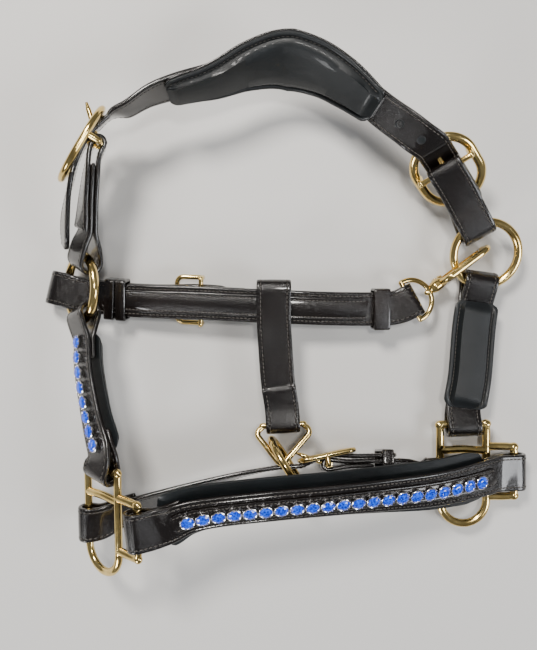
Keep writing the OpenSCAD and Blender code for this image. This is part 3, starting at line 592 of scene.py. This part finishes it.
def keeper(name, T, s, long, wide, lo, hi, body):
    """A loop of leather with rounded corners round a stack of plies."""
    wall = 1.6
    corners = [(wide / 2, hi), (-wide / 2, hi), (-wide / 2, lo), (wide / 2, lo)]
    loop = []
    for k, (x, y) in enumerate(corners):
        cx, cy = x - math.copysign(0.3, x), y - (0.3 if y == hi else -0.3)
        for q in range(5):
            a = math.radians(90 * k + 90 * q / 4)
            loop.append((cx, cy, math.cos(a), math.sin(a)))
    o, al, ac, out = (v[0] for v in T.place(s))
    sec = [(-0.5, 0.1), (-0.47, 0.75), (-0.4, 1), (-0.33, 0.94), (-0.28, 1), (0.28, 1),
           (0.33, 0.94), (0.4, 1), (0.47, 0.75), (0.5, 0.1), (0.5, 0.0), (-0.5, 0.0)]
    verts = []
    for cx, cy, dx, dy in loop:
        for u, f in sec:
            w, n = cx + dx * (0.3 + wall * f), cy + dy * (0.3 + wall * f)
            verts.append(o + al * (u * long) + ac * w + out * n)
    add_mesh(name + "_leather", verts, ring_faces(len(loop), len(sec), loop=True),
             edge_leather, body, replaces=(name,))


def stones(prefix, T, s, count, out, base, body):
    """A row of crystals in claw cups, centred at a distance along a track."""
    cups_v, cups_f, gems_v, gems_f = [], [], [], []
    for i in range(count):
        o, al, ac, nn = (v[0] for v in T.place(s + (i - (count - 1) / 2) * stone_pitch))
        z, y = nn * out, ac * out

        def at(x_, y_, z_):
            return o + al * x_ + y * y_ + z * (base + z_)
        # the claw cup: a scalloped rim with a bead at each claw
        k = 20
        v0 = len(cups_v)
        prof = [(claw_r - 1.0, 0), (claw_r - 0.2, 1.0), (claw_r, 2.2), (claw_r - 0.5, 2.6),
                (claw_r - 1.1, 2.3), (claw_r - 1.5, 1.2), (0.4, 0.9)]
        for rad, h in prof:
            for j in range(k):
                a = 2 * math.pi * j / k
                rr = rad + (0.22 * math.cos(10 * a) if rad > 3.5 and h > 1.5 else 0)
                cups_v.append(at(rr * math.cos(a), rr * math.sin(a), h))
        cups_f += [tuple(v0 + q for q in f) for f in ring_faces(len(prof), k)]
        for j in range(10):
            a = 2 * math.pi * (j + 0.5) / 10
            v0 = len(cups_v)
            rings = [(0.1, -0.45), (0.42, -0.2), (0.45, 0.2), (0.2, 0.55)]
            for rad, h in rings:
                for q in range(6):
                    b = 2 * math.pi * q / 6
                    cups_v.append(at((claw_r - 0.5) * math.cos(a) + rad * math.cos(b),
                                     (claw_r - 0.5) * math.sin(a) + rad * math.sin(b),
                                     2.75 + h))
            cups_f += [tuple(v0 + q for q in f) for f in ring_faces(4, 6)]
        # the stone: crown, girdle and table with flat facets
        v0 = len(gems_v)
        turn = 0.35 * i
        for rad, h, off in ((2.0, 1.1, 0), (claw_r - 0.75, 2.3, 0), (claw_r - 0.85, 2.65, 0),
                            (3.0, 3.5, 0.5), (2.1, 3.75, 0)):
            for j in range(8):
                a = 2 * math.pi * (j + off) / 8 + turn
                gems_v.append(at(rad * math.cos(a), rad * math.sin(a), h))
        for r0 in range(4):
            for j in range(8):
                l = (j + 1) % 8
                q = [v0 + r0 * 8 + j, v0 + r0 * 8 + l, v0 + r0 * 8 + 8 + l, v0 + r0 * 8 + 8 + j]
                gems_f.append((q[0], q[1], q[3]))
                gems_f.append((q[1], q[2], q[3]))
        gems_f.append(tuple(v0 + 32 + j for j in range(8)))
        gems_f.append(tuple(v0 + j for j in range(7, -1, -1)))
    add_mesh(prefix + "_claw_cups", cups_v, cups_f, silver, body, 50,
             (prefix + "_cups",))
    add_mesh(prefix + "_crystals", gems_v, gems_f, crystal, body, 5,
             (prefix + "_stones",))


ROOT = "headcollar"
# ---- Crown ----
pad_start = crown.station(9) - 8
pad_end = crown.station(15) - 4
pad_mid = crown.station(12)
pad_widths = table([[pad_start, 27], [pad_start + 24, 30], [pad_mid - 40, 38],
                    [pad_mid - 10, 46], [pad_mid + 6, crown_pad_w], [pad_mid + 26, 46],
                    [pad_mid + 52, 38], [pad_end, 27]])
strap("crown_leather", crown, [(s, 0) for s in np.arange(0, crown.length, 4)]
      + [(crown.length, 0)], strap_t, strap_w, "crown_body", tips=(13, 13), sides=(1, -1),
      replaces=("crown_strap",))
flat_layer("crown_back_leather", crown, pad_start, pad_end, 1, 2.1, 3.7, pad_widths,
           "crown_body", ("crown_backing",))
pad("crown_pad", crown, pad_start, pad_end, 1, 4.0, 4.1 + foam_h, pad_widths, "crown_body",
    ("crown_lining", "crown_foam"))


def chape_path(T, outer):
    length = T.length
    d = chape_t + ply_gap
    ring_fold = ring_wire + chape_t / 2 + 3
    bar_fold = bar_r + chape_t / 2 + fold_air
    path = ([(s, d) for s in (length - 20, length - 25, length - 30, 20, 12)]
            + arc((0, 0), bar_fold, 90, 270, 12)
            + [(s, -d) for s in (12, 20, length - 30, length - 25, length - 19)]
            + [(length - 9, -d / 2 - ring_fold * 0.75)]
            + arc((length + 2.4, -d / 2), ring_fold, -90, 90, 12)
            + [(length - 9, -d / 2 + ring_fold * 0.7)]
            + [(s, 0) for s in (length - 18, length - 25, length - 30, 15)])
    return [(s, outer * n) for s, n in path]


for name, T, outer in (("left_chape", left_chape, 1), ("right_chape", right_chape, -1)):
    strap(name + "_leather", T, chape_path(T, outer), chape_t, strap_w, "crown_body",
          sides=(1, -1), replaces=(name,))

# The punched holes that show at the right end of the crown strap
for i in (1, 2):
    o, al, ac, out = (v[0] for v in crown.place(crown.station(20) - 13 - 19 * i))
    verts, faces, k = [], [], 24
    for rad, h in ((3.3, 0.0), (3.0, 0.16), (2.5, 0.2), (2.2, 0.0), (1.9, -0.03), (0.3, -0.03)):
        for j in range(k):
            a = 2 * math.pi * j / k
            verts.append(o + out * (strap_t / 2 + 0.1 + h) + al * rad * math.cos(a)
                         + ac * rad * math.sin(a))
    add_mesh("punched_hole_%d" % i, verts, ring_faces(6, k), lining, "crown_body")

# ---- Cheeks ----
for name, T, inner, row, lift in (("left_cheek", left_cheek, -1, 55.8, 0.8),
                                  ("right_cheek", right_cheek, 1, 53.5, 1.7)):
    L = T.length
    strap(name + "_leather", T, start_fold(inner, chape_t, ring_wire + 2.1, 2.3, 30)
          + middle_run(L) + end_fold(L, inner, chape_t, square_bar + 0.3, 1.2, 26),
          chape_t, strap_w, ROOT, sides=(1, -1), replaces=(name + "_strap",))
    pad(name + "_pad", T, 13, L - 13, inner, stack_lo + 0.2, stack_lo + foam_h,
        table([[0, cheek_pad_w], [L, cheek_pad_w]]), ROOT,
        (name + "_lining", name + "_foam"))
    stones(name, T, row, 8, -inner, chape_t / 2 + lift, ROOT)

# ---- Noseband ----
L = noseband.length
strip_lo = chape_t / 2 + 0.3
strap("noseband_leather", noseband, start_fold(-1, chape_t, square_bar + 0.5, 0.5, 34)
      + middle_run(L) + end_fold(L, -1, chape_t, square_bar + 0.4, 0.5, 30),
      chape_t, strap_w + 2, ROOT, sides=(1, -1), replaces=("noseband_strap",))
flat_layer("noseband_inlay", noseband, 24, L - 22, 1, strip_lo, strip_lo + 1.2,
           table([[0, 15], [L, 15]]), ROOT, ("noseband_strip",))
pad("noseband_pad", noseband, 17, L - 28, -1, stack_lo + 0.2, stack_lo + foam_h,
    table([[0, nose_pad_w - 5], [30, nose_pad_w], [L - 45, nose_pad_w],
           [L - 25, nose_pad_w - 8]]),
    ROOT, ("noseband_lining", "noseband_foam"))
stones("noseband", noseband, 145, 21, 1, strip_lo + 1.2 + 0.25, ROOT)

# ---- Chin ----
strap("chin_leather", chin, start_fold(-1, chape_t, square_bar, 0, 40)
      + [(s, 0) for s in np.arange(20, chin.length, 5)] + [(chin.length, 0)], chape_t,
      strap_w, ROOT, tips=(0, 13), sides=(1, -1), replaces=("chin_strap",))
L = chin_buckle.length
strap("chin_buckle_leather", chin_buckle, start_fold(1, chape_t, small_bar_r, 0, 34)
      + middle_run(L) + end_fold(L, -1, chape_t, square_bar, 0, 24), chape_t, strap_w, ROOT,
      sides=(1, -1), replaces=("chin_buckle_strap",))
keeper("chin_keeper", chin_buckle, 44, 9, strap_w + 2.4, -7, 5.8, "chin_keeper_body")

# ---- Throat ----
L = throat.length
strap("throat_leather", throat,
      [(132, -8.8), (124, -9), (114, -11.6), (106, -12.4), (98, -11), (90, -8.4),
       (82, -5), (72, -4), (50, -4), (30, -4), (21, -4.3), (12, -6.4), (4, -7.9)]
      + arc((-3.6, 1), 9, 270, 90, 12)
      + [(4, 9.8), (9, 8.6), (15, 4.8), (21, 1.5), (26, 0.2)]
      + [(s, 0) for s in np.arange(30, L - 22, 5)]
      + end_fold(L, -1, strap_t, 2.2, 0, 22), strap_t, strap_w, ROOT, tips=(12, 0),
      sides=(1, -1), replaces=("throat_strap",))
flat_layer("throat_inlay", throat, 30, L - 35, 1, strap_t / 2 + 0.25, strap_t / 2 + 1.35,
           table([[0, 17], [L, 17]]), ROOT, ("throat_strip",))
bar_at, bar_drop = 106, 6.2
strap("throat_chape_leather", throat,
      [(bar_at + s, n) for s, n in ((34, -5.2), (24, -5.2), (14, -5.4), (6, -8.4))]
      + arc((bar_at, -bar_drop), 3.2, 270, 90, 8)
      + [(bar_at + s, -2.95) for s in (6, 14, 24, 34)], 2, 25, ROOT,
      stitch=(), grooves=False, replaces=("throat_chape",))
for name, s, long, lo, hi in (("throat_ring_keeper", 36.5, 8, -6.5, 3.9),
                              ("throat_billet_keeper", 45.5, 8, -6.5, 3.9),
                              ("throat_snap_keeper", L - 25, 13, -6.3, 3.8)):
    keeper(name, throat, s, long, strap_w + 2.6, lo, hi, name + "_body")

# ---- Centre strap ----
L = centre.length
strap("centre_leather", centre, [(52, -3.6), (45, -3.6), (40, -4.5), (36, -8), (32, -10.4),
      (4, -10.4), (0.5, -8.9), (-1, -5.2), (0.5, -1.5), (4, 0), (10, 0)]
      + middle_run(L) + end_fold(L, 1, chape_t, 2.2, 0.5, 30), chape_t, strap_w,
      "centre_strap_body", sides=(1, -1), replaces=("centre_strap",))

# ---- Cast metal: bars with round sections, in the same places as in the CAD model ----
def stand(origin, x, z):
    """A place: its origin, then its X, Y and Z directions."""
    X = unit(x)
    Z = unit(np.array(z) - (np.array(z) @ X) * X)
    return np.array(origin, float) - MIDDLE, X, np.cross(Z, X), Z


def bar_mesh(place, points, r, loop=False, sides=16, squash=1.0):
    """A round bar along points of a place, with rounded ends unless it is a loop."""
    o, X, Y, Z = place
    pts = np.array([[*q, 0][:3] for q in points], float)
    pts = o + pts[:, :1] * X + pts[:, 1:2] * Y + pts[:, 2:3] * Z
    m = len(pts)
    radii = np.full(m, float(r))
    if not loop:
        d0, d1 = unit(pts[0] - pts[1]), unit(pts[-1] - pts[-2])
        caps = [(math.sin(a), math.cos(a)) for a in np.radians([78, 50, 22])]
        pts = np.vstack([[pts[0] + d0 * r * u for u, _ in caps], pts,
                         [pts[-1] + d1 * r * u for u, _ in caps[::-1]]])
        radii = np.concatenate([[r * f for _, f in caps], radii,
                                [r * f for _, f in caps[::-1]]])
        m = len(pts)
    verts = []
    normal = None
    for i in range(m):
        before = pts[i - 1] if loop or i else pts[0]
        after = pts[(i + 1) % m] if loop or i < m - 1 else pts[-1]
        t = unit(after - before)
        if normal is None:
            normal = Z if abs(Z @ t) < 0.9 else X
        normal = unit(normal - (normal @ t) * t)
        b = np.cross(t, normal)
        for j in range(sides):
            a = 2 * math.pi * j / sides
            verts.append(pts[i] + radii[i] * (math.cos(a) * b
                                              + squash * math.sin(a) * normal))
    return verts, ring_faces(m, sides, loop=loop)


def casting(name, node, body, parts):
    """One brass piece made of several bars, in place of a CAD node."""
    verts, faces = [], []
    for v, f in parts:
        k = len(verts)
        verts += list(v)
        faces += [tuple(k + q for q in face) for face in f]
    return add_mesh(name, verts, faces, brass, body, 50, (node,))


def along(a, b, k=6):
    return [tuple(np.array(a, float) + (np.array(b, float) - np.array(a, float)) * i / k)
            for i in range(k + 1)]


def rounded(points, loop=False):
    p = [tuple(q) for q in points]
    if not loop:
        return [tuple(q) for q in soften(p, 2)]
    q = np.array(p, float)
    for _ in range(2):
        nxt = np.roll(q, -1, axis=0)
        q = np.stack([0.75 * q + 0.25 * nxt, 0.25 * q + 0.75 * nxt], axis=1).reshape(-1, 2)
    return [tuple(x) for x in q]


def square_casting(place):
    r = 3.1
    top, nose_top, divider, back, nose = 37, 20, 17, -36, 22
    runs = [along((0, -22), (0, top + 1)), along((back, -22), (back, top)),
            along((back, top), (0, top)),
            rounded([(back, divider), (back + 6, divider), (back / 2, divider + 0.8),
                     (-6, divider), (0, divider)]),
            rounded([(0, nose_top), (nose - 2, nose_top), (nose, nose_top - 2),
                     (nose, nose_top - 20), (nose, nose_top - 37), (nose - 2, nose_top - 39),
                     (0, nose_top - 39)]),
            arc((back / 2, -22), 18, 180, 360, 24)]
    parts = [bar_mesh(place, run, r, squash=0.86) for run in runs]
    for knob in ((0, top + 0.5), (back, top - 0.5), (nose - 0.5, nose_top - 0.5),
                 (nose - 0.5, nose_top - 38.5)):
        parts.append(bar_mesh(place, [(knob[0] - 0.4, knob[1]), (knob[0] + 0.4, knob[1])],
                              3.5, squash=0.8))
    return parts


left_square_at = stand(sq_at, sq_a, sq_n)
right_square_at = stand(right_sq_at, [1, 0, 0], [0, 0, 1])
casting("left_square_cast", "left_square", ROOT, square_casting(left_square_at))
casting("right_square_cast", "right_square", ROOT, square_casting(right_square_at))


def shifted(place, x, y, z):
    o, X, Y, Z = place
    return o + X * x + Y * y + Z * z, X, Y, Z


def turned(place, degrees):
    """The place turned about its own Y."""
    o, X, Y, Z = place
    c, q = math.cos(math.radians(degrees)), math.sin(math.radians(degrees))
    return o, c * X - q * Z, Y, q * X + c * Z


def crown_buckle_casting(place):
    rise, rim_r, straight = 9.6, 22.2, 12
    rim = arc((straight / 2, 0), rim_r, -90, 90, 28) + arc((-straight / 2, 0), rim_r, 90, 270, 28)
    parts = [bar_mesh(shifted(place, -6.5, 0, rise), rim, 3.5, loop=True, squash=0.76),
             bar_mesh(place, along((0, -rim_r + 2), (0, rim_r - 2)), bar_r)]
    for side in (-1, 1):
        parts.append(bar_mesh(place, [(0, side * (rim_r - 2), z)
                                      for z in np.linspace(0, rise, 5)], 2.4))
    return parts


casting("left_crown_buckle_cast", "left_crown_buckle", "crown_body",
        crown_buckle_casting(stand(left_bar, left_up, left_off)))
casting("right_crown_buckle_cast", "right_crown_buckle", "crown_body",
        crown_buckle_casting(stand(right_bar, right_up, right_off)))


def small_buckle_casting(place, front, back, wide, rise):
    h = wide / 2
    rim = ([(0, h)] + arc((front - 5, h - 5), 5, 90, 0, 6)
           + arc((front - 5, 5 - h), 5, 0, -90, 6) + [(0, -h)])
    if back:
        rim += arc((5 - back, 5 - h), 5, -90, -180, 6) + arc((5 - back, h - 5), 5, 180, 90, 6)
    parts = [bar_mesh(shifted(place, 0, 0, rise), rim, 1.9, loop=back > 0),
             bar_mesh(place, along((0, -h), (0, h)), small_bar_r)]
    for side in (-1, 1):
        parts.append(bar_mesh(place, [(0, side * h, z) for z in np.linspace(0, rise, 4)], 2.0))
    return parts


o, al, ac, out = (v[0] for v in chin_buckle.place(0))
chin_place = turned(stand(MIDDLE + o + out * half_ply, -al, -out), 10)
casting("chin_buckle_cast", "chin_buckle", ROOT,
        small_buckle_casting(chin_place, 20, 21, 34, 7))
o, al, ac, out = (v[0] for v in throat.place(bar_at))
throat_place = (o - bar_drop * out, -al, ac, -out)
casting("throat_buckle_cast", "throat_buckle", ROOT,
        small_buckle_casting(throat_place, 20, 0, 36, 7))

triangle_place = stand([11, -76, 25.4], [1, 0.06, 0], [0, 0.37, 0.93])
casting("triangle_ring_cast", "triangle_ring", "triangle_body", [
    bar_mesh(triangle_place, [(15, 0)] + arc((15, -6), 4.5, 60, -35, 8)
             + arc((-2.5, -25), 4, -25, -155, 8) + arc((-15, -6), 4.5, 215, 120, 8)
             + [(-15, 0)], 2.2),
    bar_mesh(triangle_place, along((-16, 0), (16, 0)), 2.2)])

eye_at, snap_from = vec(110, 18.5, 17.35), vec(125, 26.5, 15)
eye_place = stand(eye_at, snap_from - eye_at, [0, 0, 1])
snap_place = stand(snap_from, [0.8, 0.6, 0], [0, 0, 1])
casting("snap_eye_cast", "snap_eye", ROOT, [
    bar_mesh(eye_place, along((0, -16), (0, 16)), 2),
    bar_mesh(eye_place, [(0, -16)] + arc((1, 0), 16, -90, 90, 20) + [(0, 16)], 2),
    bar_mesh(snap_place, along((-2.5, 0), (8.4, 0)), 2)])
# the snap's body: a swivel barrel with collars, and a hook that swells and tapers
o, X, Y, Z = snap_place
hook_place = (o, X, Z, -Y)
hook = ([(10, 0.6), (12.5, 5.0)] + arc((19, 3.4), 6, 150, 90, 6)
        + [(28, 9.4), (37, 9.4)] + arc((46, 0), 9.4, 90, 0, 10) + [(55.4, -6), (55.4, -10.6)])
parts = [bar_mesh(hook_place, rounded(hook), 2.6),
         bar_mesh(snap_place, along((5.4, 0), (9.2, 0)), 4.6),
         bar_mesh(snap_place, along((3.8, 0), (4.6, 0), 2), 4.0),
         bar_mesh(snap_place, along((10.0, 0), (10.6, 0), 2), 4.0)]
for side in (-1, 1):
    parts.append(bar_mesh(shifted(hook_place, 0, 0, side * 3.4),
                          rounded([(9.5, -12), (12, -12.4), (15.4, -11), (15.2, -4), (11, -2),
                                   (9.6, -6), (9.5, -11)]), 1.0))
casting("snap_body_cast", "snap_body", "snap_body_group", parts)

# ---- Metal from the CAD model ----
brass_nodes = ["left_crown_tongue", "right_crown_tongue", "left_ring", "right_ring",
               "lead_ring", "chin_tongue", "throat_tongue", "snap_gate"]
for names, material in ((brass_nodes, brass), (["snap_gate_pin", "snap_spring"], steel)):
    for name in names:
        node = bpy.data.objects[name]
        if not node.material_slots:
            node.data.materials.append(material)
        for slot in node.material_slots:
            slot.material = material

# ---- Floor, light ----
floor_mesh = bpy.data.meshes.new("floor")
floor_mesh.from_pydata([(-3, -3, 0), (3, -3, 0), (3, 3, 0), (-3, 3, 0)], [], [(0, 1, 2, 3)])
floor = bpy.data.objects.new("floor", floor_mesh)
floor.location = (0, 0, FLOOR_DROP)
bpy.context.scene.collection.objects.link(floor)
floor_material, nt, bsdf, coord = new_material("pale_floor")
bsdf.inputs["Base Color"].default_value = (0.66, 0.65, 0.63, 1)
bsdf.inputs["Roughness"].default_value = 0.75
floor_mesh.materials.append(floor_material)


def area_light(name, place, target, size, power, colour=(1, 1, 1)):
    data = bpy.data.lights.new(name, "AREA")
    data.shape = "DISK"
    data.size = size
    data.energy = power
    data.color = colour
    lamp = bpy.data.objects.new(name, data)
    lamp.location = place
    lamp.rotation_euler = (Vector(target) - Vector(place)).to_track_quat("-Z", "Y").to_euler()
    bpy.context.scene.collection.objects.link(lamp)


area_light("key", (-0.35, 0.6, 0.95), (0, 0.02, 0), 0.30, 15, (1.0, 0.96, 0.91))
area_light("top", (0.10, 0.12, 1.25), (0, 0, 0), 0.16, 5, (1.0, 0.97, 0.93))
area_light("fill", (0.9, -0.4, 0.8), (0, 0, 0), 0.45, 8, (0.95, 0.97, 1.0))
area_light("low", (-0.7, -0.9, 0.55), (0, 0, 0.03), 0.35, 7)
world = bpy.data.worlds.new("world")
bpy.context.scene.world = world
world.use_nodes = True
world.node_tree.nodes["Background"].inputs["Color"].default_value = (0.9, 0.93, 1.0, 1)
world.node_tree.nodes["Background"].inputs["Strength"].default_value = 0.17
